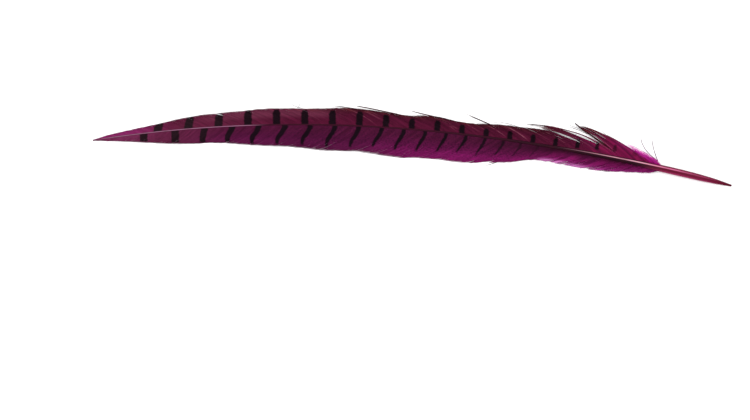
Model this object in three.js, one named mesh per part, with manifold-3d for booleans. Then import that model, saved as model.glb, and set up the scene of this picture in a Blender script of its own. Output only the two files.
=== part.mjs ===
// A dyed tail feather of a ring-necked pheasant, lying on a flat surface with its upper side up.
// It grew as one piece, so it is one solid: a tapering shaft with a bare quill at +X, and a vane on
// each side of it, made of locks of barbs that sweep towards the tip at -X. The vane at +Y, outside
// the shaft's bow, is the narrow one. The shaft lies flat at its quill and its tip and arches up in
// between, and the vanes slope down from it, so their edges rest on the surface at z = 0.
// Millimetres, +Z up. A share is a place along the feather: 0 at the tip, 1 at the quill's end.
import * as THREE from "three";
import { mergeVertices } from "three/addons/utils/BufferGeometryUtils.js";
import Module from "manifold-3d";

// Driving dimensions of the whole feather
const LENGTH = 410; // straight from the tip to the quill's end
const SIDE_BOW = 21.3; // how far the shaft bows sideways, towards +Y
const BOW_LEAN = 0.11; // how much fuller that bow is towards the tip
const ARCH = 3.5; // how far the shaft rises between its two ends
const ARCH_END = 0.88; // share where the arch has come down to the flat quill

// The shaft: radius along its length
const SHAFT_SIDES = 10;
const SHAFT_STEPS = 44;
const SHAFT_RADIUS = smooth([
  [0, 0.45],
  [0.4, 0.55],
  [0.56, 0.7],
  [0.69, 1.15],
  [0.79, 1.7],
  [0.88, 2.2],
  [0.93, 2.2],
  [0.97, 1.65],
  [1, 0.6],
]);

// The barbs: a barb leaves the shaft steeply and bends towards the tip
const BARB_BEND_ALONG = 0.42; // where its bend is, as a share of its way along the shaft
const BARB_BEND_OUT = 0.66; // the same, as a share of its way out from the shaft
const DROOP_POWER = 1.7; // how late a barb drops from the shaft to its edge

// The locks: each overlaps the next one towards the quill, like a shingle
const LOCK_STEPS = 6;
const LOCK_THICKNESS = 0.7;
const LOCK_OVERLAP = 0.5;
const SHINGLE_DROP = 0.3; // how much lower a lock's trailing edge lies at the rim
const ROOT_HEIGHT = 0.65; // how high the vane's upper side starts over the shaft's middle, in radii
const LIFTS = [0, 0.5, 0.2, 0.8, 0.3]; // how far the ends of neighbouring locks stay off the surface
const UNEVEN_PITCH = 0.15; // how far a lock's edge strays from an even spacing, in pitches
const UNEVEN_REACH = 0.04; // how much further out some locks reach

// Each vane: the share where it ends, how far its barbs sweep forward for each unit of width, its
// width square to the shaft, how deep its locks are split apart, as a share of the barb, and how
// wide such a split is at the rim, as a share of a lock
const NARROW_VANE = {
  side: 1,
  locks: 27,
  end: 0.885,
  sweep: 2.0,
  width: smooth([
    [0, 1.0],
    [0.05, 2.8],
    [0.1, 5.2],
    [0.15, 7.5],
    [0.21, 9.4],
    [0.3, 10.6],
    [0.38, 11.0],
    [0.43, 10.8],
    [0.49, 8.8],
    [0.53, 9.6],
    [0.58, 8.0],
    [0.64, 9.3],
    [0.69, 10.3],
    [0.755, 15.9],
    [0.8, 13.6],
    [0.83, 9.2],
    [0.86, 6.2],
    [0.885, 3.2],
  ]),
  splitDepth: smooth([
    [0, 0.1],
    [0.4, 0.15],
    [0.62, 0.28],
    [0.66, 0.6],
    [0.695, 0.85],
    [0.725, 0.5],
    [0.76, 0.15],
    [0.885, 0.1],
  ]),
  splitWidth: smooth([
    [0, 0.3],
    [0.4, 0.4],
    [0.6, 0.5],
    [0.725, 0.5],
    [0.76, 0.2],
    [0.885, 0.1],
  ]),
};
const WIDE_VANE = {
  side: -1,
  locks: 30,
  end: 0.89,
  sweep: 1.6,
  width: smooth([
    [0, 1.0],
    [0.024, 2.0],
    [0.054, 4.2],
    [0.09, 7.0],
    [0.135, 8.9],
    [0.19, 10.6],
    [0.245, 12.3],
    [0.3, 14.5],
    [0.36, 15.8],
    [0.43, 17.2],
    [0.5, 18.3],
    [0.56, 17.6],
    [0.61, 16.6],
    [0.65, 14.2],
    [0.69, 9.7],
    [0.745, 10.5],
    [0.8, 9.2],
    [0.85, 6.2],
    [0.89, 3.2],
  ]),
  splitDepth: smooth([
    [0, 0.1],
    [0.6, 0.12],
    [0.7, 0.4],
    [0.89, 0.5],
  ]),
  splitWidth: smooth([
    [0, 0.25],
    [0.6, 0.3],
    [0.7, 0.6],
    [0.89, 0.7],
  ]),
};

// A smooth curve through points of share and value
function smooth(points) {
  const shares = points.map(([share]) => share);
  const values = points.map(([, value]) => value);
  const curve = new THREE.CubicInterpolant(shares, values, 1);
  return (share) => curve.evaluate(share)[0];
}

// The middle of the shaft at a share of its length
function shaftMiddle(share) {
  const bow = 4 * SIDE_BOW * share * (1 - share) * (1 + BOW_LEAN * (1 - 2 * share));
  const arch = ARCH * Math.sin(Math.PI * Math.min(share / ARCH_END, 1)) ** 2;
  const rest = SHAFT_RADIUS(share) * Math.cos(Math.PI / SHAFT_SIDES);
  return new THREE.Vector3((share - 0.5) * LENGTH, bow, rest + arch);
}

// The level direction square to the shaft there, towards the narrow vane
function shaftSide(share) {
  const step = 0.001;
  const along = shaftMiddle(share + step).sub(shaftMiddle(share - step));
  return new THREE.Vector3(-along.y, along.x, 0).normalize();
}

// Moves every vertex of a geometry to the place that the given function makes of it
function bent(geometry, place) {
  const points = geometry.getAttribute("position");
  const vertex = new THREE.Vector3();
  for (let i = 0; i < points.count; i++) {
    vertex.copy(place(vertex.fromBufferAttribute(points, i)));
    points.setXYZ(i, vertex.x, vertex.y, vertex.z);
  }
  return geometry;
}

// The shaft is a cylinder bent along the middle line, one flat side underneath
function shaft() {
  const turn = Math.PI / SHAFT_SIDES;
  const cylinder = new THREE.CylinderGeometry(1, 1, 1, SHAFT_SIDES, SHAFT_STEPS, false, turn);
  return bent(cylinder, ({ x, y, z }) => {
    const share = y + 0.5;
    const radius = SHAFT_RADIUS(share);
    const out = shaftSide(share).multiplyScalar(-x * radius);
    return shaftMiddle(share).add(out).setZ(shaftMiddle(share).z + z * radius);
  });
}

// The edge between two locks: a curve from the shaft to the vane's rim, in share and distance out
function barb(vane, number) {
  const pitch = vane.end / vane.locks;
  const inner = number > 0 && number < vane.locks;
  const tip = pitch * (number + (inner ? UNEVEN_PITCH * Math.cos(2.4 * number) : 0));
  const width = vane.width(tip) * (1 + UNEVEN_REACH * Math.sin(1.7 * number));
  const root = tip + (vane.sweep * width) / LENGTH;
  return new THREE.QuadraticBezierCurve(
    new THREE.Vector2(root, 0),
    new THREE.Vector2(THREE.MathUtils.lerp(root, tip, BARB_BEND_ALONG), BARB_BEND_OUT * width),
    new THREE.Vector2(tip, width),
  );
}

// A lock is a thin slab between two barbs. Past its split it narrows towards the leading one
function lock(vane, number) {
  const leading = barb(vane, number);
  const trailing = barb(vane, number + 1);
  const splitStart = 1 - vane.splitDepth(leading.v2.x);
  const splitWidth = vane.splitWidth(leading.v2.x);
  const lift = LIFTS[(number * 2 + (vane.side > 0 ? 1 : 0)) % LIFTS.length];
  const slab = new THREE.BoxGeometry(1, 1, 1, LOCK_STEPS, 1, 1);
  return bent(slab, ({ x, y, z }) => {
    const along = x + 0.5;
    const across = 0.5 - y * vane.side;
    const narrowing = THREE.MathUtils.smoothstep(along, splitStart, 1) * splitWidth;
    const front = leading.getPoint(along);
    const back = trailing.getPoint(along);
    back.x += LOCK_OVERLAP / LENGTH;
    const place = front.clone().lerp(back, across * (1 - narrowing));
    const root = THREE.MathUtils.lerp(leading.v0.x, trailing.v0.x, across);
    const rootHeight = shaftMiddle(root).z + ROOT_HEIGHT * SHAFT_RADIUS(root) - LOCK_THICKNESS;
    const rimHeight = lift + SHINGLE_DROP * (1 - across);
    const height = THREE.MathUtils.lerp(rootHeight, rimHeight, along ** DROOP_POWER);
    const middle = shaftMiddle(place.x);
    const out = shaftSide(place.x).multiplyScalar(vane.side * place.y);
    return middle.add(out).setZ(height + LOCK_THICKNESS * (z + 0.5));
  });
}

// Joins the shaft and the locks into one solid
const wasm = await Module();
wasm.setup();

function solid(geometry) {
  geometry.deleteAttribute("normal");
  geometry.deleteAttribute("uv");
  const merged = mergeVertices(geometry, 1e-4);
  return new wasm.Manifold(
    new wasm.Mesh({
      numProp: 3,
      vertProperties: merged.attributes.position.array,
      triVerts: new Uint32Array(merged.index.array),
    }),
  );
}

let joined = solid(shaft());
for (const vane of [NARROW_VANE, WIDE_VANE])
  for (let number = 0; number < vane.locks; number++) joined = joined.add(solid(lock(vane, number)));

// The finished solid, with its origin under the middle of its bounding box
const mesh = joined.getMesh();
const geometry = new THREE.BufferGeometry();
geometry.setAttribute("position", new THREE.BufferAttribute(mesh.vertProperties, 3));
geometry.setIndex(new THREE.BufferAttribute(mesh.triVerts, 1));
geometry.computeVertexNormals();
geometry.computeBoundingBox();
const middle = geometry.boundingBox.getCenter(new THREE.Vector3());
geometry.translate(-middle.x, -middle.y, -geometry.boundingBox.min.z);

const material = new THREE.MeshStandardMaterial({ color: 0x6b1742, roughness: 0.65, metalness: 0 });
const feather = new THREE.Mesh(geometry, material);
feather.name = "feather";

const group = new THREE.Group();
group.add(feather);

export default group;
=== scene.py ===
import math

import bpy
import numpy as np
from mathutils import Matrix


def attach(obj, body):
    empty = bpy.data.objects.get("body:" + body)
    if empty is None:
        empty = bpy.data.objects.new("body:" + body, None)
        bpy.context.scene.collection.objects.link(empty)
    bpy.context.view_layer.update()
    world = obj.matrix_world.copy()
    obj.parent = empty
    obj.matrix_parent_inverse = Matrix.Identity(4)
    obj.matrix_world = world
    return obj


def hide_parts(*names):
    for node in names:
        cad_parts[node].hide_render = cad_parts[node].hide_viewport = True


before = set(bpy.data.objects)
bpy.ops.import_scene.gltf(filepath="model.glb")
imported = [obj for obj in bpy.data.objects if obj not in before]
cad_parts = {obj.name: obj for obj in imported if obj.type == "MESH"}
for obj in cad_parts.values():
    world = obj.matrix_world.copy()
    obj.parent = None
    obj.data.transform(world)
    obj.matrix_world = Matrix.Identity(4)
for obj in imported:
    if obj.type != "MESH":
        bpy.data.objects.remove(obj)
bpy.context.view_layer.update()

# The shaft -------------------------------------------------
# The quill and the shaft are one tapering rod of horn, hollow and bare at its thick end and pithy
# where the vanes grow. It bows sideways and arches off the surface, has a flat underside with a
# groove along it, and a paler crest. The dye has turned it wine red.

MM = 0.001  # sizes here are in millimetres, and the pieces are made in metres


def smooth(points):
    """A curve through points of share and value. At each its slope is the mean of those beside it."""
    shares, values = np.array(points, float).T
    secants = np.diff(values) / np.diff(shares)
    slopes = np.concatenate([secants[:1], (secants[1:] + secants[:-1]) / 2, secants[-1:]])

    def value_at(share):
        share = np.clip(share, shares[0], shares[-1])
        i = np.clip(np.searchsorted(shares, share, "right") - 1, 0, len(shares) - 2)
        gap = shares[i + 1] - shares[i]
        t = (share - shares[i]) / gap
        start = (1 + 2 * t) * (1 - t) ** 2 * values[i] + t * (1 - t) ** 2 * gap * slopes[i]
        end = t**2 * (3 - 2 * t) * values[i + 1] + t**2 * (t - 1) * gap * slopes[i + 1]
        return start + end

    return value_at


length = 410.0  # a share is 0 at the feather's tip and 1 at the quill's end
side_bow, bow_lean = 21.3, 0.11  # how far the shaft bows sideways, and how much fuller at the tip
arch, arch_end = 3.5, 0.88  # how far it rises, and the share where it is flat again
centre_x, centre_y = 0.058, -15.608  # puts the middle of the feather's box at the origin
flat_side = math.cos(math.pi / 10)  # how low the flat underside lies, in radii
shaft_radius = smooth([(0, 0.45), (0.4, 0.55), (0.56, 0.7), (0.69, 1.15), (0.79, 1.7),
                       (0.88, 2.2), (0.93, 2.2), (0.97, 1.65), (1, 0.6)])
needle_share, needle_radius = 0.035, 0.3  # before this share the shaft thins to 0.3 of its radius
groove_depth, groove_half_width = 0.16, 0.3  # in radii
groove_fades, groove_gone = 0.8, 0.88  # the shares between which the groove runs out


def shaft_middle(share):
    """Points on the shaft's middle line, in millimetres."""
    share = np.asarray(share, float)
    bow = 4 * side_bow * share * (1 - share) * (1 + bow_lean * (1 - 2 * share))
    rise = arch * np.sin(np.pi * np.minimum(share / arch_end, 1)) ** 2
    return np.stack([(share - 0.5) * length + centre_x, bow + centre_y,
                     shaft_radius(share) * flat_side + rise], -1)


def shaft_side(share):
    """The level direction square to the shaft, towards the narrow vane."""
    along = shaft_middle(np.asarray(share) + 1e-3) - shaft_middle(np.asarray(share) - 1e-3)
    side = np.stack([-along[..., 1], along[..., 0], 0 * along[..., 0]], -1)
    return side / np.linalg.norm(side, axis=-1, keepdims=True)


def noise_1d(x, seed):
    """Smooth noise from -1 to 1 along a line, the same on every run."""
    values = np.random.default_rng(seed).uniform(-1, 1, 4096)
    cell = np.floor(x).astype(int)
    t = x - cell
    t = t * t * (3 - 2 * t)
    return values[cell % 4096] * (1 - t) + values[(cell + 1) % 4096] * t


def new_mesh_object(name, vertices, faces):
    """A new object at the origin, with its vertices in metres."""
    mesh = bpy.data.meshes.new(name)
    mesh.from_pydata(vertices.tolist(), [], faces)
    mesh.validate()
    piece = bpy.data.objects.new(name, mesh)
    bpy.context.scene.collection.objects.link(piece)
    return piece


def store(mesh, name, values):
    """Keeps one number or one vector for each vertex."""
    values = np.asarray(values, np.float32)
    kind = "FLOAT" if values.ndim == 1 else "FLOAT_VECTOR"
    layer = mesh.attributes.new(name, kind, "POINT")
    layer.data.foreach_set("value" if values.ndim == 1 else "vector", values.ravel())


def shaft_mesh(rings=420, sides=28, crowding=1.12):
    """A tube of rings along the middle line, a little closer together towards the tip."""
    share = 1 - np.linspace(1, 0, rings) ** crowding
    around = (np.arange(sides) + 0.5) / sides * 2 * np.pi
    across, up = np.cos(around), np.sin(around)
    groove = groove_depth * np.exp(-((across / groove_half_width) ** 2)) * (up < 0)
    needle = np.clip(needle_radius + (1 - needle_radius) * share / needle_share, 0, 1)
    radius = shaft_radius(share) * needle
    blade = 1 - np.clip((share - groove_fades) / (groove_gone - groove_fades), 0, 1)
    high = np.where(up < 0, np.maximum(up, -flat_side), up)
    out = across * radius[:, None]
    rise = (high + groove * blade[:, None]) * radius[:, None]
    middle, side = shaft_middle(share), shaft_side(share)
    points = middle[:, None] + side[:, None] * out[..., None]
    points[..., 2] += rise
    faces = [[r * sides + c, r * sides + (c + 1) % sides,
              (r + 1) * sides + (c + 1) % sides, (r + 1) * sides + c]
             for r in range(rings - 1) for c in range(sides)]
    faces += [list(range(sides))[::-1], [(rings - 1) * sides + c for c in range(sides)]]
    piece = new_mesh_object("shaft", points.reshape(-1, 3) * MM, faces)
    plan = np.broadcast_arrays((share * length)[:, None], across, up)
    store(piece.data, "plan", np.stack(plan, -1).reshape(-1, 3))
    piece.data.shade_smooth()
    return piece


class Nodes:
    """Short calls for building a node tree: every value may be a number or another node's output."""

    def __init__(self, tree):
        self.tree = tree

    def put(self, socket, value):
        """Links another node's output to a socket, or sets a number on it."""
        if isinstance(value, bpy.types.NodeSocket):
            self.tree.links.new(value, socket)
        elif value is not None:
            socket.default_value = value

    def fill(self, made, values):
        for key, value in values.items():
            self.put(made.inputs[key], value)

    def node(self, kind, inputs=(), **settings):
        made = self.tree.nodes.new(kind)
        for name, value in settings.items():
            setattr(made, name, value)
        self.fill(made, dict(inputs))
        return made

    def math(self, operation, a, b=None):
        return self.node("ShaderNodeMath", {0: a, 1: b}, operation=operation).outputs[0]

    def plus(self, a, b):
        return self.math("ADD", a, b)

    def minus(self, a, b):
        return self.math("SUBTRACT", a, b)

    def times(self, *factors):
        product = factors[0]
        for factor in factors[1:]:
            product = self.math("MULTIPLY", product, factor)
        return product

    def between(self, low, high, value, start=0.0, end=1.0, kind="SMOOTHSTEP"):
        """start at low, end at high, and a smooth step from one to the other."""
        inputs = {"Value": value, "From Min": low, "From Max": high, "To Min": start, "To Max": end}
        return self.node("ShaderNodeMapRange", inputs, interpolation_type=kind).outputs["Result"]

    def colour(self, share, a, b):
        """Colour a where the share is 0, and colour b where it is 1."""
        return self.node("ShaderNodeMix", {0: share, 6: a, 7: b}, data_type="RGBA").outputs[2]

    def attribute(self, name):
        return self.node("ShaderNodeAttribute", attribute_name=name).outputs["Vector"]

    def parts_of(self, vector):
        return self.node("ShaderNodeSeparateXYZ", {0: vector}).outputs

    def vector(self, operation, a, b=None):
        return self.node("ShaderNodeVectorMath", {0: a, 1: b}, operation=operation).outputs[0]

    def noise(self, vector, stretch, detail, roughness=0.5):
        """Noise with a grain of one unit, once the vector is multiplied by the stretch."""
        inputs = {"Vector": self.vector("MULTIPLY", vector, stretch), "Scale": 1.0,
                  "Detail": detail, "Roughness": roughness}
        return self.node("ShaderNodeTexNoise", inputs).outputs["Fac"]

    def scaled(self, vector, scale):
        made = self.node("ShaderNodeVectorMath", {0: vector, "Scale": scale}, operation="SCALE")
        return made.outputs[0]


def rgb(red, green, blue):
    """A colour given as it looks on a screen, 0 to 255, as the light values that nodes use."""
    def light(c):
        c /= 255
        return c / 12.92 if c <= 0.04045 else ((c + 0.055) / 1.055) ** 2.4
    return (light(red), light(green), light(blue), 1.0)


def new_material(name):
    """A new material, with calls for its nodes, and its shader."""
    material = bpy.data.materials.new(name)
    material.use_nodes = True
    shader = material.node_tree.nodes["Principled BSDF"]
    return material, Nodes(material.node_tree), shader


def horn_material():
    material, n, shader = new_material("dyed_horn")
    plan = n.attribute("plan")
    along, across, _ = n.parts_of(plan)
    streaks = n.noise(plan, (0.05, 5.0, 5.0), 3.0)

    def stripe(middle, half):
        off = n.math("ABSOLUTE", n.minus(across, middle))
        return n.between(0, half, off, 1.0, 0.0)

    # The shaft between the vanes: pale towards the tip, then dark with a thin painted highlight on one
    # shoulder
    wine, dark_wine, pale_crest = rgb(44, 6, 24), rgb(28, 3, 14), rgb(136, 90, 116)
    highlight_rose, quill_highlight_rose = rgb(208, 146, 164), rgb(206, 112, 150)
    blade = n.colour(n.between(180, 330, along), wine, dark_wine)
    blade = n.colour(n.times(stripe(0.0, 0.9), n.between(112, 96, along)), blade, pale_crest)
    # painted highlight: a pale rose stripe along the shoulder that faces the light
    blade = n.colour(n.times(stripe(0.38, 0.29), n.between(292, 352, along)), blade, highlight_rose)
    # The bare quill: clearer, redder horn, darker down the middle, with painted light through its
    # lower flank, a painted highlight that fades and a dark end
    quill = n.colour(stripe(-0.1, 0.45), rgb(104, 14, 48), rgb(76, 1, 26))
    # painted light shining through the horn: the lower flank lighter and pinker
    quill = n.colour(n.between(-0.4, -0.95, across), quill, rgb(142, 40, 82))
    # painted highlight along the upper shoulder, fading towards the quill's end
    highlight_fade = n.between(365, 398, along, 0.9, 0.12)
    quill = n.colour(n.times(stripe(0.4, 0.28), highlight_fade), quill, quill_highlight_rose)
    quill = n.colour(n.between(392, 409, along), quill, rgb(72, 2, 22))
    base = n.colour(n.between(350, 370, along), blade, quill)
    base = n.colour(n.between(0.45, 0.8, streaks, 0.0, 0.25), base, rgb(44, 4, 20))
    # The dye has taken unevenly, in long blotches and in fine lines along the quill
    blotches = n.noise(plan, (0.14, 1.3, 1.3), 3.0)
    fibres = n.noise(plan, (0.03, 11.0, 11.0), 2.0)
    base = n.colour(n.between(0.5, 0.72, blotches, 0.0, 0.35), base, rgb(62, 6, 26))
    bare = n.between(340, 362, along)
    pale_lines = n.between(0.52, 0.7, fibres, 0.0, 0.24)
    dark_lines = n.between(0.48, 0.3, fibres, 0.0, 0.4)
    base = n.colour(n.times(bare, pale_lines), base, rgb(172, 70, 108))
    base = n.colour(n.times(bare, dark_lines), base, rgb(52, 4, 22))
    bump = n.node("ShaderNodeBump", {"Strength": 0.25, "Distance": 0.0001, "Height": streaks})
    n.fill(shader, {"Base Color": base, "Roughness": n.plus(0.32, n.times(streaks, 0.2)),
                    "Specular IOR Level": 0.04, "Subsurface Weight": 0.1, "Subsurface Scale": 0.001,
                    "Subsurface Radius": (0.8, 0.25, 0.4), "Normal": bump.outputs["Normal"]})
    return material


shaft = shaft_mesh()
shaft.data.materials.append(horn_material())
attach(shaft, "root")
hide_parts("feather")

# The narrow vane -------------------------------------------
# Several hundred flat barbs grow from the shaft's side, each bending towards the tip and hooked to
# the next one, so that they make a sheet. Handling has split the sheet into locks, deeply so near
# the quill. The barbs are brown with near-black bars under the dye.


class CurveNodes(Nodes):
    """Short calls for the tree that grows barbs."""

    def __init__(self, tree):
        super().__init__(tree)
        self.given = self.node("NodeGroupInput").outputs
        self.share = self.node("GeometryNodeSplineParameter").outputs["Factor"]

    def geometry(self, kind, inputs=(), **settings):
        """The first output of a new geometry node."""
        return self.node("GeometryNode" + kind, inputs, **settings).outputs[0]

    def stored(self, name, kind="FLOAT_VECTOR"):
        made = self.node("GeometryNodeInputNamedAttribute", {"Name": name}, data_type=kind)
        return made.outputs["Attribute"]

    def storing(self, geometry, name, value, kind="FLOAT_VECTOR"):
        inputs = {"Geometry": geometry, "Name": name, "Value": value}
        return self.geometry("StoreNamedAttribute", inputs, data_type=kind)

    def mixed(self, share, a, b):
        return self.node("ShaderNodeMix", {0: share, 4: a, 5: b}, data_type="VECTOR").outputs[1]

    def bezier(self, share, a, b, c):
        return self.mixed(share, self.mixed(share, a, b), self.mixed(share, b, c))

    def combined(self, x, y, z):
        return self.node("ShaderNodeCombineXYZ", {0: x, 1: y, 2: z}).outputs[0]

    def line(self, count):
        """A straight line of that many points, one metre long."""
        line = self.geometry("CurvePrimitiveLine", {"End": (1, 0, 0)})
        return self.geometry("ResampleCurve", {"Curve": line, "Count": count})

    def wandering(self, where, amount):
        """A smooth random step, up to half the amount each way."""
        noise = self.node("ShaderNodeTexNoise", {"Vector": where, "Scale": 1.0, "Detail": 1.0})
        return self.scaled(self.vector("SUBTRACT", noise.outputs["Color"], (0.5, 0.5, 0.5)), amount)

    def ribbon(self, curve, width, sides, thickness):
        """A closed tube along the curve, its thickness a share of its width."""
        profile = self.geometry("CurvePrimitiveCircle", {"Resolution": sides, "Radius": 0.5})
        flat = self.combined(1.0, thickness, 1.0)
        profile = self.geometry("Transform", {"Geometry": profile, "Scale": flat})
        profile = self.storing(profile, "around", self.share, "FLOAT")
        return self.geometry("CurveToMesh", {"Curve": curve, "Profile Curve": profile,
                                             "Scale": width, "Fill Caps": True})


# What a barb tree is given: the name, the kind and the usual value. Lengths are in metres
barb_settings = [("Geometry", "Geometry", None), ("Material", "Material", None),
                 ("Points per barb", "Int", 10), ("Sides", "Int", 4), ("Thickness", "Float", 0.3),
                 ("Point length", "Float", 0.1), ("Point width", "Float", 0.3),
                 ("Waver", "Float", 0.0), ("Sway", "Float", 0.0), ("Waves", "Float", 3.0),
                 ("Barbules per barb", "Int", 30), ("Barbule length", "Float", 0.001),
                 ("Barbule width", "Float", 0.00003), ("Barbs", "Int", 1), ("Seed", "Int", 1)]


def barb_curves(n):
    """Each barb's middle line, bent along the three places stored on its point."""
    # What is stored on a straight line keeps its share of the way once the line is bent
    share, given = n.share, n.given
    number, loose = n.stored("number", "FLOAT"), n.stored("loose", "FLOAT")
    line = n.line(given["Points per barb"])
    barbs = n.geometry("InstanceOnPoints", {"Points": given["Geometry"], "Instance": line})
    barbs = n.geometry("RealizeInstances", {"Geometry": barbs})
    # Where it is "straight" the pattern runs on unbroken over barbs that are drawn together
    gather = n.between(n.stored("split", "FLOAT"), 1.0, share)
    plan = n.bezier(share, *(n.stored("plan_" + key) for key in "abc"))
    kept = n.vector("MULTIPLY", n.stored("gather"), (1 / MM, 0, 0))
    kept = n.scaled(kept, n.times(gather, n.stored("straight", "FLOAT")))
    barbs = n.storing(barbs, "plan", n.vector("ADD", plan, kept))
    barbs = n.storing(barbs, "strand", n.combined(number, share, n.stored("tint", "FLOAT")))
    place = n.bezier(share, *(n.stored(key) for key in ("root", "bend", "end")))
    place = n.vector("ADD", place, n.scaled(n.stored("gather"), gather))
    # A slit opens in the middle of its stretch of the barb: 16 makes its widest place 1
    start, end, _ = n.parts_of(n.stored("slit"))
    way = n.node("ShaderNodeMapRange", {"Value": share, "From Min": start, "From Max": end})
    half = n.times(way.outputs[0], n.minus(1.0, way.outputs[0]))
    place = n.vector("ADD", place, n.scaled(n.stored("parting"), n.times(half, half, 16.0)))
    # Each barb wavers on its own, and sways along with its neighbours
    waved = n.times(share, given["Waves"])
    for size, likeness in (("Waver", 7.31), ("Sway", 0.11)):
        amount = n.times(given[size], share, n.plus(1.0, loose))
        where = n.combined(waved, n.times(number, likeness), given["Seed"])
        place = n.vector("ADD", place, n.wandering(where, amount))
    return n.geometry("SetPosition", {"Geometry": barbs, "Position": place})


def barbules(n, barbs):
    """Short bent threads all round each barb, leaning towards its tip."""
    given = n.given
    _, share, tint = n.parts_of(n.stored("strand"))
    origins = n.node("GeometryNodeCurveToPoints",
                     {"Curve": barbs, "Count": given["Barbules per barb"]}, mode="COUNT").outputs
    forward = origins["Tangent"]
    index = n.geometry("InputIndex")

    def chance(low, high, seed):
        inputs = {"ID": index, "Seed": seed, 2: low, 3: high}
        return n.node("FunctionNodeRandomValue", inputs, data_type="FLOAT").outputs[1]

    lean = n.math("RADIANS", chance(28.0, 62.0, 2))
    roll = chance(0.0, 2 * math.pi, 3)
    across = n.vector("NORMALIZE", n.vector("CROSS_PRODUCT", forward, (0, 0, 1)))
    up = n.vector("CROSS_PRODUCT", across, forward)
    # They stand out more to the sides than up and down
    out = n.vector("ADD", n.scaled(across, n.math("COSINE", roll)),
                   n.scaled(up, n.times(n.math("SINE", roll), 0.6)))
    aim = n.vector("ADD", n.scaled(forward, n.math("COSINE", lean)),
                   n.scaled(out, n.math("SINE", lean)))
    turned = n.node("FunctionNodeAlignRotationToVector", {"Vector": aim}, axis="X").outputs[0]
    shorter = n.between(1.0, 0.55, share, 0.45, 1.0)
    size = n.times(given["Barbule length"], chance(0.45, 1.0, 4), shorter)
    serial = n.plus(given["Barbs"], index)
    points = n.storing(origins["Points"], "strand", n.combined(serial, share, tint))
    threads = n.geometry("InstanceOnPoints", {"Points": points, "Instance": n.line(3),
                                              "Rotation": turned,
                                              "Scale": n.combined(size, size, size)})
    threads = n.geometry("RealizeInstances", {"Geometry": threads})
    serial, _, tint = n.parts_of(n.stored("strand"))
    bent = n.wandering(n.combined(n.share, n.times(serial, 3.7), given["Seed"]),
                       n.times(given["Barbule length"], 0.8, n.share))
    threads = n.geometry("SetPosition", {"Geometry": threads, "Offset": bent})
    threads = n.storing(threads, "strand", n.combined(serial, n.share, tint))
    thin = n.times(given["Barbule width"], n.between(0.0, 1.0, n.share, 1.0, 0.4))
    return n.ribbon(threads, thin, 3, 1.0)


def barb_tree(fluffy=False):
    """Grows one curved tapering barb from each point. Fluffy barbs also carry loose barbules."""
    tree = bpy.data.node_groups.new("down" if fluffy else "barbs", "GeometryNodeTree")
    sockets = {}
    for name, kind, value in barb_settings:
        socket = tree.interface.new_socket(name, in_out="INPUT", socket_type="NodeSocket" + kind)
        if value is not None:
            socket.default_value = value
        sockets[name] = socket.identifier
    tree.interface.new_socket("Geometry", in_out="OUTPUT", socket_type="NodeSocketGeometry")
    n = CurveNodes(tree)
    curves = barb_curves(n)
    _, share, _ = n.parts_of(n.stored("strand"))
    width, tilt, _ = n.parts_of(n.bezier(share, *(n.stored("widths_" + key) for key in "abc")))
    point_start = n.minus(1.0, n.given["Point length"])
    point = n.between(point_start, 1.0, share, 1.0, n.given["Point width"])
    barbs = n.geometry("SetCurveNormal", {"Curve": curves}, mode="Z_UP")
    barbs = n.geometry("SetCurveTilt", {"Curve": barbs, "Tilt": tilt})
    mesh = n.ribbon(barbs, n.times(width, point), n.given["Sides"], n.given["Thickness"])
    if fluffy:
        both = n.node("GeometryNodeJoinGeometry", {0: mesh})
        tree.links.new(barbules(n, barbs), both.inputs[0])
        mesh = both.outputs[0]
    mesh = n.geometry("SetShadeSmooth", {"Geometry": mesh, "Shade Smooth": True})
    mesh = n.geometry("RealizeInstances", {"Geometry": mesh})
    mesh = n.geometry("SetMaterial", {"Geometry": mesh, "Material": n.given["Material"]})
    tree.links.new(mesh, n.node("NodeGroupOutput").inputs[0])
    return tree, sockets


plain_barbs = barb_tree()


def grow(name, points, material, group=plain_barbs, **sizes):
    """Runs a barb tree on one point for each barb and keeps the result as a plain mesh."""
    tree, sockets = group
    seeds = new_mesh_object(name + "_points", points["root"], [])
    for key, values in points.items():
        store(seeds.data, key, values)
    modifier = seeds.modifiers.new("barbs", "NODES")
    modifier.node_group = tree
    modifier[sockets["Material"]] = material
    modifier[sockets["Barbs"]] = len(points["root"])
    for key, value in sizes.items():
        modifier[sockets[key.replace("_", " ").capitalize()]] = value
    seeds.update_tag()
    grown = seeds.evaluated_get(bpy.context.evaluated_depsgraph_get())
    mesh = bpy.data.meshes.new_from_object(grown)
    seeds.modifiers.clear()
    bpy.data.objects.remove(seeds)
    mesh.name = name
    for key in [a.name for a in mesh.attributes if a.name in points]:
        mesh.attributes.remove(mesh.attributes[key])
    piece = bpy.data.objects.new(name, mesh)
    bpy.context.scene.collection.objects.link(piece)
    unroll(mesh)
    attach(piece, "root")
    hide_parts("feather")
    return piece


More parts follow.
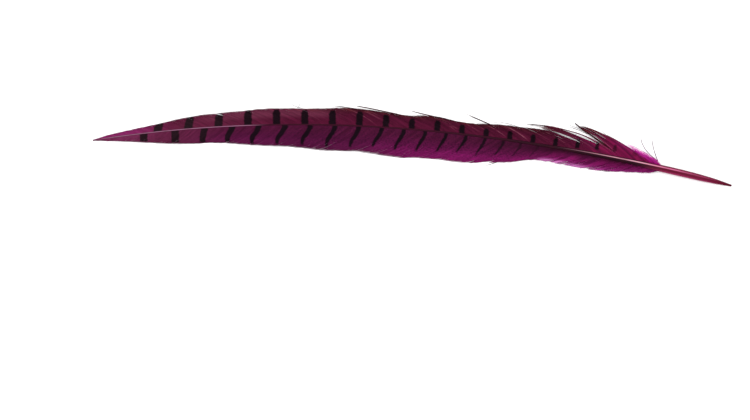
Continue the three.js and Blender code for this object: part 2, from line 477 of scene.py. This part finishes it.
def unroll(mesh):
    """Lays every strand out upright on the texture map: side by side in rows, none on another."""
    strand = np.empty(len(mesh.vertices) * 3, np.float32)
    mesh.attributes["strand"].data.foreach_get("vector", strand)
    number, along, _ = strand.reshape(-1, 3).T
    around = np.empty(len(mesh.vertices), np.float32)
    mesh.attributes["around"].data.foreach_get("value", around)
    corners = np.empty(len(mesh.loops), np.int32)
    mesh.loops.foreach_get("vertex_index", corners)
    starts = np.empty(len(mesh.polygons), np.int32)
    mesh.polygons.foreach_get("loop_start", starts)
    turn = around[corners]
    wrapped = np.maximum.reduceat(turn, starts) - np.minimum.reduceat(turn, starts) > 0.5
    face = np.repeat(np.arange(len(starts)), np.diff(np.append(starts, len(corners))))
    turn = np.where(wrapped[face] & (turn < 0.25), 1.0, turn)
    place = np.round(number[corners]).astype(int)
    rows = max(1, round(math.sqrt((place.max() + 1) / 110)))
    per_row = math.ceil((place.max() + 1) / rows)
    u = (place % per_row + 0.06 + 0.88 * turn) / per_row
    v = (place // per_row + 0.02 + 0.96 * along[corners]) / rows
    layer = mesh.uv_layers.new(name="OFBake")
    layer.data.foreach_set("uv", np.stack([u, v], -1).astype(np.float32).ravel())
    mesh.attributes.remove(mesh.attributes["around"])


barb_pitch = 0.42  # how far apart the barbs leave the shaft
barb_overlap = 1.7  # how broad a barb is, in the spaces between two
rim_widths = (0.13, 0.3)  # the least and the most that a barb measures at the rim
bend_along, bend_out = 0.42, 0.66  # where a barb bends, as shares of its way along and out
root_out = 0.55  # how far out from the shaft's middle the barbs start, in radii
root_height = 0.65  # how high over its middle they start, in radii
bare_from = 0.887  # the quill has no barbs past this share
lock_thickness, lock_overlap = 0.7, 0.5  # a lock's height, and how far it lies over the next one
shingle_drop = 0.3  # how much lower a lock's trailing edge lies at the rim
lifts = np.array([0, 0.5, 0.2, 0.8, 0.3])  # how far the ends of neighbouring locks stay up
uneven_pitch, uneven_reach = 0.15, 0.04  # how far the locks stray from an even spacing and rim
closed_share, closed_width = 0.021, 0.3  # before this share a vane closes to 0.3 of its width
staying_behind = 0.06  # the share of the barbs that do not draw together with their lock
slit_barbs, slit_falloff = 26, 7  # how many barbs bow aside at a slit, and how soon that dies away


def on_vane(side, share, out, height):
    """The point that far out from the shaft on one side, in millimetres."""
    point = shaft_middle(share) + shaft_side(share) * (side * np.asarray(out))[:, None]
    point[:, 2] = height
    return point


def barb_points(side, root, bend, stop, numbers, widths, tilt, tint, reach):
    """The values that the barb tree reads. Root, bend and stop are each share, out and height."""
    zero = np.zeros(len(root[0]))
    points = {key: on_vane(side, *place) * MM for key, place in
              (("root", root), ("bend", bend), ("end", stop))}
    for key, place, width in zip("abc", (root, bend, stop), widths):
        points["widths_" + key] = np.stack([(width + zero) * MM, tilt, zero], -1)
        points["plan_" + key] = np.stack([place[0] * length, place[1] + zero, place[1] / reach], -1)
    points.update({"number": numbers.astype(float), "tint": tint, "split": zero + 0.99,
                   "gather": np.stack([zero] * 3, -1), "parting": np.stack([zero] * 3, -1),
                   "slit": np.stack([zero, zero + 1, zero], -1), "loose": zero, "straight": zero})
    return points


def lock_edges(locks, end, sweep, width):
    """Where each lock meets the next: the share on the rim, how far out the rim is there, the share
    at the shaft, and how much wider than usual the vane is there."""
    edge = np.arange(locks + 1)
    inner = (edge > 0) & (edge < locks)
    tip = end / locks * (edge + inner * uneven_pitch * np.cos(2.4 * edge))
    wider = uneven_reach * np.sin(1.7 * edge)
    out = width(tip) * (1 + wider)
    return tip, out, tip + sweep * out / length, wider


def barb_heights(side, root, lock, across, loose, lean, runs_on, clump, rng):
    """Heights of the root, bend and end. A lock's trailing barbs end lower than its leading ones."""
    root_z = shaft_middle(root)[:, 2] + (root_height - 0.1) * shaft_radius(root) - 0.2 * lock_thickness
    lift = lifts[(lock * 2 + (side > 0)) % len(lifts)]
    rim_z = lift + shingle_drop * (1 - across) + 0.35 * lock_thickness + 0.09 * clump
    rim_z = np.maximum(rim_z + loose * rng.uniform(-0.2, 0.6, len(root)), 0.1) + 0.35 * runs_on
    rim_z = rim_z + 0.03 * np.maximum(lean, 0)
    return root_z, root_z + 0.08 * (rim_z - root_z) + 0.25 * runs_on, rim_z


def barb_widths(sweep, step, loose, runs_on):
    """Broad enough to overlap the next barb all along, and thin where they have come loose."""
    angle_root = math.atan2(bend_out, bend_along * sweep)
    angle_end = math.atan2(1 - bend_out, (1 - bend_along) * sweep)
    broad = barb_pitch * barb_overlap
    bend = broad * math.sin((angle_root + angle_end) / 2) * (1 - 0.2 * loose - 0.4 * runs_on)
    end = np.clip(step, 0.3 * barb_pitch, 2.2 * barb_pitch) * math.sin(angle_end) * barb_overlap
    return broad * math.sin(angle_root), bend, np.clip(end, *rim_widths) * (1 - 0.35 * loose)


def open_slits(points, slits, side, root, bend, stop, sweep, width):
    """Narrow slits inside the sheet, where two barbs have come unhooked and bow apart."""
    way = stop - bend
    aside = np.stack([-way[:, 1], way[:, 0], 0 * root], -1)
    aside *= np.where(aside[:, 1] * side > 0, 1, -1)[:, None]
    aside /= np.linalg.norm(aside, axis=1)[:, None]
    nearest = np.full(len(root), np.inf)
    for tip, start, end, gap in slits:
        off = ((root - tip) * length - sweep * width(tip)) / barb_pitch
        mine = np.abs(off) < np.minimum(nearest, slit_barbs)
        nearest[mine] = np.abs(off)[mine]
        push = 0.5 * gap * np.sign(off) * np.exp(-np.abs(off) / slit_falloff)
        points["parting"][mine] = (aside * push[:, None] * MM)[mine]
        points["slit"][mine] = (start, end, 0)


def vane_points(side, locks, end, sweep, width, split_depth, split_width, following, loosening,
                stringy, slits, seed, leaning=((0, 0), (1, 0)), wearing=((0, 0), (1, 0))):
    """Where each barb of a vane starts, bends and ends, lock by lock, and how broad it is."""
    rng = np.random.default_rng(seed)
    edge_tip, edge_width, edge_root, wider = lock_edges(locks, end, sweep, width)
    # Evenly spaced barbs, each a share of the way across its lock
    root = np.arange(edge_root[0], min(edge_root[-1], bare_from), barb_pitch / length)
    root = root + rng.uniform(-0.2, 0.2, len(root)) * barb_pitch / length
    # A few more, long ones, run on along the rim over the ends of the others
    long_ones = root[rng.uniform(0, 1, len(root)) < stringy(root)]
    runs_on = np.repeat([0.0, 1.0], [len(root), len(long_ones)])
    root = np.concatenate([root, long_ones])
    count = len(root)
    lock = np.clip(np.searchsorted(edge_root, root, "right") - 1, 0, locks - 1)
    across = np.clip((root - edge_root[lock]) / (edge_root[lock + 1] - edge_root[lock]), 0, 1)
    tip = edge_tip[lock] + across * (edge_tip[lock + 1] - edge_tip[lock] + lock_overlap / length)
    loose = loosening(tip)
    full_reach = width(tip) * (1 + np.interp(tip, edge_tip, wider))
    reach = full_reach * (1 + 0.006 * noise_1d(root * length / 1.3, seed)
                          + 0.005 * rng.uniform(-1, 1, count)
                          - 0.16 * loose * rng.uniform(0, 1, count) ** 2)
    reach = reach * np.clip(closed_width + (1 - closed_width) * tip / closed_share, 0, 1)
    tip = tip - runs_on * rng.uniform(2.5, 9, count) / length
    # Where the vane is worn its barbs are shorter and lean over towards the tip
    lean = np.interp(root, *zip(*leaning)) * rng.uniform(0.85, 1.35, count)
    bend_share, bend_reach = root + bend_along * (tip - root), bend_out * reach
    tip = tip - lean / length
    reach = reach * (1 - np.interp(root, *zip(*wearing))) - runs_on * rng.uniform(-0.25, 0.6, count)
    # Neighbouring barbs rise, turn and take the dye alike, and each a little in its own way
    clump = noise_1d(root * length / 2.1, seed + 1)
    root_z, bend_z, rim_z = barb_heights(side, root, lock, across, loose, lean, runs_on, clump, rng)
    stop = on_vane(side, tip, reach, rim_z)
    bend = on_vane(side, bend_share, bend_reach, bend_z)
    step = np.linalg.norm(np.diff(stop[:, :2], axis=0, append=stop[-1:, :2]), axis=1)
    step = np.where(runs_on > 0, 0.4 * barb_pitch, step)
    tilt = -side * (0.22 + 0.14 * clump + 0.06 * rng.uniform(-1, 1, count))
    tint = 0.55 * noise_1d(root * length / 1.7, seed + 2) + 0.45 * rng.uniform(-1, 1, count)
    points = barb_points(side, (root, shaft_radius(root) * root_out, root_z),
                         (bend_share, bend_reach, bend_z), (tip, reach, rim_z), np.arange(count),
                         barb_widths(sweep, step, loose, runs_on), tilt, tint, full_reach)
    # Past its split a lock draws together towards its leading barb, and a few barbs stay behind
    leading = on_vane(side, edge_tip[lock], edge_width[lock], rim_z)
    lags = rng.uniform(0, 1, count) < staying_behind
    follows = following(tip) * np.where(lags, rng.uniform(0, 0.5, count), 1)
    follows = follows * np.clip(1 - np.abs(lean) / 8, 0, 1)
    gather = (leading - stop) * (split_width(edge_tip[lock]) * follows)[:, None]
    gather[:, 2] = 0
    points["gather"] = gather * MM
    points["split"] = 1 - np.clip(split_depth(edge_tip[lock]), 0.03, 0.95)
    points["loose"] = loose * 1.2
    points["straight"] = np.clip((0.62 - tip) / 0.04, 0, 1)
    open_slits(points, slits, side, root, bend, stop, sweep, width)
    return points


# How all the barbs of both vanes are drawn
vane_barbs = {"points_per_barb": 12, "thickness": 0.32, "point_length": 0.05, "waver": 0.00022,
              "sway": 0.0004, "waves": 2.0}
# The narrow vane. Its barbs sweep forward twice as far as it is wide. By share: its width, how deep
# its locks are split and how wide such a split is, how closely the barbs follow their lock, how
# loose they are, and how many are long ones. Each slit: the share where its barbs end, where it
# starts and stops along them, and its gap. How far the barbs that leave the shaft at each share
# lean over, in millimetres, and how much of their length is worn off. Both stop at the last great
# lock, which leaves a gap before it
narrow = dict(
    side=1, locks=27, end=0.885, sweep=2.0, seed=11,
    width=smooth([(0, 1.0), (0.05, 2.8), (0.1, 5.2), (0.15, 7.5), (0.21, 9.4), (0.3, 10.6),
                  (0.38, 11.0), (0.43, 10.8), (0.49, 8.8), (0.53, 9.6), (0.58, 8.0), (0.64, 9.3),
                  (0.69, 10.3), (0.755, 15.9), (0.8, 13.6), (0.83, 9.2), (0.86, 6.2), (0.885, 3.2)]),
    split_depth=smooth([(0, 0.1), (0.4, 0.15), (0.62, 0.28), (0.66, 0.6), (0.695, 0.85),
                        (0.725, 0.5), (0.76, 0.15), (0.885, 0.1)]),
    split_width=smooth([(0, 0.3), (0.4, 0.4), (0.6, 0.5), (0.725, 0.5), (0.76, 0.2), (0.885, 0.1)]),
    following=smooth([(0, 0.08), (0.55, 0.12), (0.63, 0.25), (0.72, 0.25), (0.735, 0.05),
                      (0.755, 0.05), (0.775, 0.5), (0.885, 0.6)]),
    loosening=smooth([(0, 0.02), (0.5, 0.03), (0.6, 0.08), (0.78, 0.08), (0.84, 0.6), (0.885, 0.8)]),
    stringy=smooth([(0, 0.0), (0.3, 0.05), (0.38, 0.16), (0.62, 0.2), (0.7, 0.3), (0.78, 0.12),
                    (0.8, 0)]),
    slits=[(0.189, 0.72, 0.99, 0.9), (0.675, 0.6, 1.05, 0.5), (0.686, 0.42, 1.05, 0.6),
           (0.703, 0.35, 0.9, 0.6), (0.7185, 0.26, 0.97, 1.5), (0.741, 0.3, 0.97, 2.2),
           (0.761, 0.5, 0.9, 0.5)],
    leaning=[(0.70, 0), (0.74, 2), (0.78, 8), (0.79, 12), (0.822, 15.5), (0.8221, -2), (0.8325, 0)],
    wearing=[(0.74, 0), (0.779, 0.22), (0.784, 0.12), (0.80, 0.13), (0.822, 0.18), (0.8221, 0.06),
             (0.8325, 0)])


def bars_at(n, at, first, spacing, shrink, width, soft):
    """1 on the bars and 0 between them. Bar i is at first + spacing * i - shrink * i * i."""
    inside = n.minus(spacing * spacing + 4 * shrink * first, n.times(at, 4 * shrink))
    root = n.math("SQRT", n.math("MAXIMUM", inside, 1.0))
    i = n.math("DIVIDE", n.minus(spacing, root), 2 * shrink)
    off = n.math("ABSOLUTE", n.minus(i, n.math("ROUND", i)))
    off = n.times(off, n.minus(spacing, n.times(i, 2 * shrink)))
    half = n.times(width, 0.5)
    on = n.between(n.minus(half, soft), n.plus(half, soft), off, 1.0, 0.0)
    return n.times(on, n.math("GREATER_THAN", i, -0.5))


class BarbMaterial(Nodes):
    """A barb material. It knows where each spot is on the vane (millimetres along and out, and its
    share of the way to the rim), its barb's tint, and noise drawn out along the barbs."""

    def __init__(self, name):
        self.material, nodes, self.shader = new_material(name)
        super().__init__(nodes.tree)
        self.plan = self.attribute("plan")
        self.along, self.out, self.ratio = self.parts_of(self.plan)
        strand = self.attribute("strand")
        self.tint = self.parts_of(strand)[2]
        self.streak = self.noise(strand, (0.12, 1.2, 0.0), 3.0)
        self.fine = self.noise(strand, (0.55, 2.5, 0.0), 2.0)

    def finished(self, base, strength=0.26):
        """The material in that colour, some barbs and some spots a little brighter."""
        bright = self.plus(1.0, self.times(self.tint, strength))
        bright = self.times(bright, self.between(0.2, 0.8, self.fine, 0.85, 1.18))
        self.fill(self.shader, {"Base Color": self.scaled(base, bright), "Roughness": 0.6,
                                "Specular IOR Level": 0.03})
        return self.material


def narrow_bars(n):
    """Near the tip they slant back towards the rim. They end short of it and are rounded there, and
    past the middle they start further out from the shaft."""
    along, ratio = n.along, n.ratio
    uneven = n.minus(n.fine, 0.5)
    at = n.plus(along, n.times(uneven, 2.2))
    slant = n.between(40, 115, along, 0.33, 0.0)
    at = n.minus(at, n.times(slant, n.minus(n.out, 2.5)))
    at = n.plus(at, n.between(310, 338, along, 0.0, 4.0))
    stop = n.between(80, 330, along, 0.96, 0.5, kind="LINEAR")
    ragged = n.plus(ratio, n.times(uneven, 0.2))
    rounding = n.between(stop, n.minus(stop, 0.16), ragged, 0.66, 1.0)
    width = n.times(n.between(40, 300, along, 5.6, 2.9, kind="LINEAR"), rounding)
    bars = bars_at(n, at, first=41.9, spacing=19.442, shrink=0.1708, width=width, soft=0.4)
    fade = n.between(stop, n.plus(stop, 0.07), ragged, 1.0, 0.0)
    bare = n.minus(n.between(245, 335, along, -0.2, 0.3), 0.08)
    start = n.between(bare, n.between(245, 335, along, -0.1, 0.3), ratio)
    return n.times(bars, fade, start, n.between(316, 350, along, 0.96, 0.35))


def narrow_material():
    n = BarbMaterial("narrow_vane_barbs")
    along, ratio, tint, streak = n.along, n.ratio, n.tint, n.streak
    base = n.colour(n.between(0.3, 0.7, streak), rgb(62, 10, 33), rgb(76, 15, 42))
    base = n.colour(n.between(135, 75, along), base, rgb(78, 22, 46))
    base = n.colour(n.between(58, 18, along), base, rgb(112, 30, 80))
    base = n.colour(n.between(300, 345, along), base, rgb(94, 11, 52))
    # Past the worn stretch the dye is streaked along the barbs, darker and redder in turn
    late = n.between(292, 322, along)
    dark = n.times(late, n.between(0.5, 0.64, streak, 0.0, 0.6))
    red = n.times(late, n.between(0.48, 0.34, streak, 0.0, 0.55))
    base = n.colour(dark, base, rgb(58, 6, 38))
    base = n.colour(red, base, rgb(122, 18, 66))
    ends = n.times(n.between(328, 356, along), n.between(0.35, 0.9, ratio))
    base = n.colour(ends, base, rgb(168, 34, 130))
    # A lighter, greyish painted sheen over the outer part between 60 and 165 mm; browner towards the
    # rim, rusty on some barbs, and pale painted highlights along others
    outer_sheen = n.times(n.between(60, 85, along), n.between(165, 140, along), n.between(0.3, 0.7, ratio))
    base = n.colour(outer_sheen, base, rgb(92, 36, 58))
    rim = n.times(n.between(0.55, 0.95, ratio), n.between(110, 180, along, 0.0, 0.75),
                  n.between(345, 310, along))
    base = n.colour(rim, base, rgb(60, 18, 28))
    rust = n.times(n.between(0.72, 0.95, ratio), n.between(0.1, 0.45, tint),
                   n.between(90, 160, along, 0.0, 0.6))
    base = n.colour(rust, base, rgb(104, 42, 38))
    # painted highlights: pale streaks along some barbs from 130 mm on
    pale = n.times(n.between(0.62, 0.85, tint), n.between(0.15, 0.4, ratio),
                   n.between(0.4, 0.6, streak, 0.2, 1.0), n.between(130, 200, along, 0.15, 0.7))
    base = n.colour(pale, base, rgb(156, 92, 108))
    black = n.colour(n.between(50, 110, along), rgb(26, 16, 20), rgb(12, 5, 11))
    return n.finished(n.colour(narrow_bars(n), base, black))


narrow_vane = grow("narrow_vane", vane_points(**narrow), narrow_material(), seed=3, **vane_barbs)

# The wide vane ---------------------------------------------
# The vane inside the bow is grown in the same way, with longer barbs that stand off more steeply.
# It is almost unbroken up to a notch two thirds of the way down, with thin slanting bars and dark
# peppering on brighter magenta. Past the notch its barbs have come unhooked.

wide = dict(
    side=-1, locks=30, end=0.89, sweep=1.6, seed=23,
    width=smooth([(0, 1.0), (0.024, 2.0), (0.054, 4.2), (0.09, 7.0), (0.135, 8.9), (0.19, 10.6),
                  (0.245, 12.3), (0.3, 14.5), (0.36, 15.8), (0.43, 17.2), (0.5, 18.3), (0.56, 17.6),
                  (0.61, 16.6), (0.65, 14.2), (0.69, 9.7), (0.745, 10.5), (0.8, 9.2), (0.85, 6.2),
                  (0.89, 3.2)]),
    split_depth=smooth([(0, 0.1), (0.6, 0.12), (0.7, 0.4), (0.89, 0.5)]),
    split_width=smooth([(0, 0.25), (0.6, 0.3), (0.7, 0.6), (0.89, 0.7)]),
    following=smooth([(0, 0.08), (0.6, 0.1), (0.7, 0.35), (0.89, 0.2)]),
    loosening=smooth([(0, 0.02), (0.6, 0.03), (0.67, 0.05), (0.71, 0.22), (0.89, 0.3)]),
    stringy=smooth([(0, 0.0), (0.55, 0.01), (0.7, 0.06), (0.89, 0.05)]),
    slits=[(0.588, 0.8, 1.05, 0.8), (0.617, 0.86, 1.1, 1.3), (0.728, 0.6, 0.9, 0.6)])


def wide_bars(n):
    """They leave the shaft square, slant towards the tip further out and end short of the rim."""
    along, ratio = n.along, n.ratio
    uneven = n.minus(n.fine, 0.5)
    at = n.plus(along, n.times(uneven, 1.8))
    at = n.plus(at, n.between(60, 34, along, 0.0, 1.8))
    slant = n.between(48, 112, along, 0.3, 5.2)
    at = n.plus(at, n.times(slant, n.between(0.05, 0.8, ratio)))
    stop = n.between(110, 265, along, 0.88, 0.56, kind="LINEAR")
    ragged = n.plus(ratio, n.times(uneven, 0.25))
    end_width = n.between(60, 110, along, 1.0, 0.55)
    tapering = n.between(stop, n.minus(stop, 0.35), ragged, end_width, 1.0)
    width = n.times(n.between(40, 290, along, 4.8, 1.5, kind="LINEAR"), tapering)
    bars = bars_at(n, at, first=33.99, spacing=18.844, shrink=0.2421, width=width, soft=0.35)
    fade = n.between(stop, n.plus(stop, 0.1), ragged, 1.0, 0.0)
    return n.times(bars, fade, n.between(240, 320, along, 0.96, 0.0))


def wide_material():
    n = BarbMaterial("wide_vane_barbs")
    along, ratio, streak = n.along, n.ratio, n.streak
    near = n.colour(n.between(0.3, 0.7, streak), rgb(62, 11, 38), rgb(74, 17, 48))
    near = n.colour(n.between(230, 300, along), near, rgb(50, 8, 32))
    middle = n.colour(n.between(165, 210, along), rgb(72, 14, 50), rgb(88, 15, 62))
    edge = n.colour(n.between(165, 210, along), rgb(84, 18, 60), rgb(116, 20, 84))
    base = n.colour(n.between(0.15, 0.62, ratio), near, middle)
    base = n.colour(n.between(0.5, 0.8, ratio), base, edge)
    base = n.colour(n.between(95, 45, along), base, rgb(86, 28, 56))
    base = n.colour(n.between(45, 20, along), base, rgb(100, 36, 70))
    # From the notch on the vane is darker beside the shaft and brighter at the rim
    late = n.colour(n.between(0.12, 0.6, ratio), rgb(42, 5, 22), rgb(118, 18, 82))
    late = n.colour(n.between(0.55, 0.95, ratio), late, rgb(158, 48, 130))
    late = n.colour(n.between(0.42, 0.6, streak, 0.0, 0.65), late, rgb(58, 6, 42))
    base = n.colour(n.between(272, 310, along), base, late)
    wisps = n.times(n.between(280, 294, along), n.between(335, 305, along),
                    n.between(0.72, 0.92, ratio, 0.0, 0.75), n.between(-0.3, 0.2, n.tint))
    base = n.colour(wisps, base, rgb(206, 128, 192))
    # Dark peppering, thickest in mid vane
    pepper = n.noise(n.plan, (0.9, 1.5, 0.0), 4.0, 0.65)
    spots = n.times(n.between(0.49, 0.58, pepper), n.between(60, 150, along, 0.15, 0.75),
                    n.between(1.0, 0.6, ratio, 0.3, 1.0), n.between(255, 305, along, 1.0, 0.3))
    base = n.colour(spots, base, rgb(44, 6, 34))
    black = n.colour(n.between(50, 110, along), rgb(24, 13, 18), rgb(13, 5, 12))
    return n.finished(n.colour(wide_bars(n), base, black))


wide_vane = grow("wide_vane", vane_points(**wide), wide_material(), seed=5, **vane_barbs)

# The down --------------------------------------------------
# Beside the quill the barbs are soft and unhooked, each with threads of its own standing out all
# round, so that they make fluff. It takes the dye best and is bright magenta, and it lies over the
# last of both vanes.


def down_points(vane, start, end, count, first_number, longest, stiff, shade, seed):
    """Wavy barbs over the end of a vane, reaching unevenly past its rim."""
    side, sweep, width = vane["side"], vane["sweep"], vane["width"]
    rng = np.random.default_rng(seed)
    tip = np.sort(rng.uniform(0, 1, count) ** 0.8) * (end - start) + start
    reach = width(tip) * rng.uniform(0.75, longest, count)
    root = tip + sweep * width(tip) / length * rng.uniform(0.75, 1.1, count)
    root = np.minimum(root, bare_from - rng.uniform(0, 0.01, count))
    radius = shaft_radius(root)
    root_z = shaft_middle(root)[:, 2] + rng.uniform(0.1, 0.6, count) * radius
    rim_z = rng.uniform(0.62, 2.2, count)
    bend = root + rng.uniform(0.3, 0.5, count) * (tip - root)
    out = rng.uniform(0.56, 0.76, count) * reach
    bend_z = root_z + rng.uniform(0, 0.8, count)
    points = barb_points(side, (root, radius * 0.7, root_z), (bend, out, bend_z), (tip, reach, rim_z),
                         first_number + np.arange(count), (0.13, 0.1, 0.05),
                         rng.uniform(-0.5, 0.5, count), shade + rng.uniform(-0.4, 0.4, count),
                         width(tip))
    points["loose"] -= stiff
    return points


def down_material():
    n = BarbMaterial("magenta_down")
    dull = n.colour(n.between(0.2, 1.0, n.ratio), rgb(112, 12, 76), rgb(156, 44, 124))
    bright = n.colour(n.between(0.2, 1.1, n.ratio), rgb(150, 8, 106), rgb(214, 66, 180))
    return n.finished(n.colour(n.between(-0.2, 0.2, n.tint), dull, bright), strength=0.12)


narrow_down = down_points(narrow, start=0.82, end=0.876, count=120, first_number=0, longest=1.25,
                          stiff=0.0, shade=0.6, seed=41)
wide_down = down_points(wide, start=0.76, end=0.876, count=70, first_number=120, longest=1.04,
                        stiff=0.7, shade=-0.6, seed=43)
down = grow("down", {key: np.concatenate([narrow_down[key], wide_down[key]]) for key in narrow_down},
            down_material(), barb_tree(fluffy=True), points_per_barb=14, thickness=0.6, waver=0.0016,
            sway=0.001, waves=2.4, barbules_per_barb=40, barbule_length=0.0017,
            barbule_width=0.00004, seed=7)

# The stray barbs -------------------------------------------
# Barbs have worked loose from the narrow vane's rim, singly or in small tufts, and stand off a
# little in the air. A few have left the wide vane and the down.

# Each tuft: along and out, in millimetres, at its end, halfway and where it leaves the vane, how many
# barbs it has, how far apart along the vane their ends lie, and their width
tufts = [((125.4, 14.5), (127.5, 12.4), (133, 10.5), 1, 0, 0.28),
         ((131, 15.1), (131.5, 13), (130, 10.8), 1, 0, 0.24),
         ((153, 12.3), (160.2, 11.7), (172, 9.9), 7, 1.6, 0.42),
         ((168, 12.7), (179, 11.1), (193, 8.8), 9, 1.8, 0.36),
         ((202.6, 11.6), (213, 9.9), (227, 8.1), 8, 1.8, 0.34),
         ((237, 13.2), (245.2, 10.7), (253.4, 8.2), 2, 0.6, 0.4),
         ((239, 12.1), (246, 10.1), (253, 8), 1, 0, 0.34),
         ((253, 9.6), (261, 10.6), (272, 9), 2, 3, 0.2),
         ((277, 11.6), (285, 12.6), (296, 12.3), 7, 5, 0.26),
         ((280.5, 12.6), (287, 12.2), (295, 11), 1, 0, 0.2),
         ((298.4, 15.8), (307.5, 14.6), (316.5, 11.7), 2, 1.5, 0.24),
         ((301.5, 14.5), (309, 13.4), (317.5, 11.2), 3, 2, 0.16),
         ((306.2, 15.9), (311, 14.3), (315.5, 12.1), 1, 0, 0.16),
         ((305.2, 17.6), (315, 12.1), (332, 4.6), 7, 0.5, 0.38),
         ((305.1, 17.6), (308.5, 15.5), (313, 13.1), 4, 0.2, 0.7),
         ((318, 18.1), (321.5, 16.6), (326, 13.5), 1, 0, 0.18),
         ((342, 10.5), (348, 9), (354, 7), 2, 2, 0.16),
         ((347.5, 17.4), (351, 10.5), (361, 4), 1, 0, 0.46),
         ((355, 17), (356.5, 11.7), (361, 4.2), 1, 0, 0.46),
         ((252.5, -18), (256.5, -16.5), (262, -13.5), 2, 2, 0.3),
         ((299, -9), (303.5, -8.7), (308, -7.4), 2, 2, 0.2)]
tuft_pitch = 0.35  # how far apart the barbs of a tuft leave the vane


def stray_points(seed):
    """Where the barbs of every tuft start, bend and end. Halfway along they pass the middle place."""
    rng = np.random.default_rng(seed)
    end, half, root, width = [], [], [], []
    for far, middle, near, barbs, spread, breadth in tufts:
        for i in range(barbs):
            apart = rng.uniform(-0.5, 0.5, 2) * (spread, spread / 8)
            step = np.array([i * tuft_pitch, 0])
            end.append(far + apart)
            half.append(middle + apart * 0.5 + step * 0.7)
            root.append(near + step)
            width.append(breadth)
    end, half, root, width = np.array(end), np.array(half), np.array(root), np.array(width)
    bend = 2 * half - (end + root) / 2
    count = len(width)
    root_share = root[:, 0] / length
    slope = 1 - np.abs(root[:, 1]) / 16  # the vane slopes down from the shaft
    root_z = np.maximum(shaft_middle(root_share)[:, 2] * slope + 0.35, 0.8)
    end_z = root_z + rng.uniform(0, 0.8, count)
    return barb_points(1, (root_share, root[:, 1], root_z),
                       (bend[:, 0] / length, bend[:, 1], root_z + 0.3),
                       (end[:, 0] / length, end[:, 1], end_z), np.arange(count),
                       (width, width * 0.95, width * 0.85), np.zeros(count),
                       rng.uniform(-1, 0.3, count), np.full(count, 10.0))


def stray_material():
    n = BarbMaterial("stray_barb")
    base = n.colour(n.between(0.3, 0.7, n.fine), rgb(42, 11, 23), rgb(68, 24, 32))
    return n.finished(n.colour(n.between(336, 344, n.along), base, rgb(86, 46, 74)))


stray_barbs = grow("stray_barbs", stray_points(61), stray_material(), points_per_barb=16,
                   thickness=0.5, waver=0.0002, waves=2.0, point_length=0.3, point_width=0.5, seed=9)

# The camera, the light and the floor -----------------------
# The feather lies on a white table. The camera looks straight down on it, and a broad soft light
# stands beyond the narrow vane.

view_width = 0.4795  # metres, as are all sizes in this section
lens, sensor = 85.0, 36.0  # but these are millimetres
floor_half = 4.0
turn = math.radians(4.06)
aim_right, aim_up, aim_height = -0.02375, -0.0301, 0.002  # where it looks, from the feather's middle
right = np.array([math.cos(turn), math.sin(turn)])
up = np.array([-math.sin(turn), math.cos(turn)])
aim = np.array([centre_x, centre_y]) * MM + aim_right * right + aim_up * up
camera_data = bpy.data.cameras.new("camera")
camera_data.lens = lens
camera_data.sensor_width = sensor
camera_data.clip_end = 20
camera = bpy.data.objects.new("camera", camera_data)
camera.location = (aim[0], aim[1], view_width * lens / sensor + aim_height)
camera.rotation_euler = (0, 0, turn)
bpy.context.scene.collection.objects.link(camera)
bpy.context.scene.camera = camera


def softbox(name, place, size, power):
    """A broad lamp that faces the feather's middle."""
    data = bpy.data.lights.new(name, "AREA")
    data.shape = "RECTANGLE"
    data.size, data.size_y = size
    data.energy = power
    light = bpy.data.objects.new(name, data)
    light.location = place
    aside = math.hypot(place[0], place[1])
    light.rotation_euler = (math.atan2(aside, place[2]), 0, math.atan2(place[0], -place[1]))
    bpy.context.scene.collection.objects.link(light)


softbox("key_light", (-0.1, 0.6, 1.3), (1.8, 1.0), 22)
softbox("fill_light", (0.2, -0.7, 1.3), (1.8, 1.0), 12)
world = bpy.data.worlds.new("room")
world.use_nodes = True
Nodes(world.node_tree).fill(world.node_tree.nodes["Background"],
                            {"Color": (1, 1, 1, 1), "Strength": 0.6})
bpy.context.scene.world = world
bpy.context.scene.view_settings.view_transform = "Standard"

corners = np.array([(-1, -1, 0), (1, -1, 0), (1, 1, 0), (-1, 1, 0)], float)
floor = new_mesh_object("floor", corners * floor_half, [[0, 1, 2, 3]])
table, nodes, shader = new_material("white_table")
nodes.fill(shader, {"Base Color": (0.92, 0.92, 0.925, 1), "Roughness": 0.8,
                    "Specular IOR Level": 0.1})
floor.data.materials.append(table)
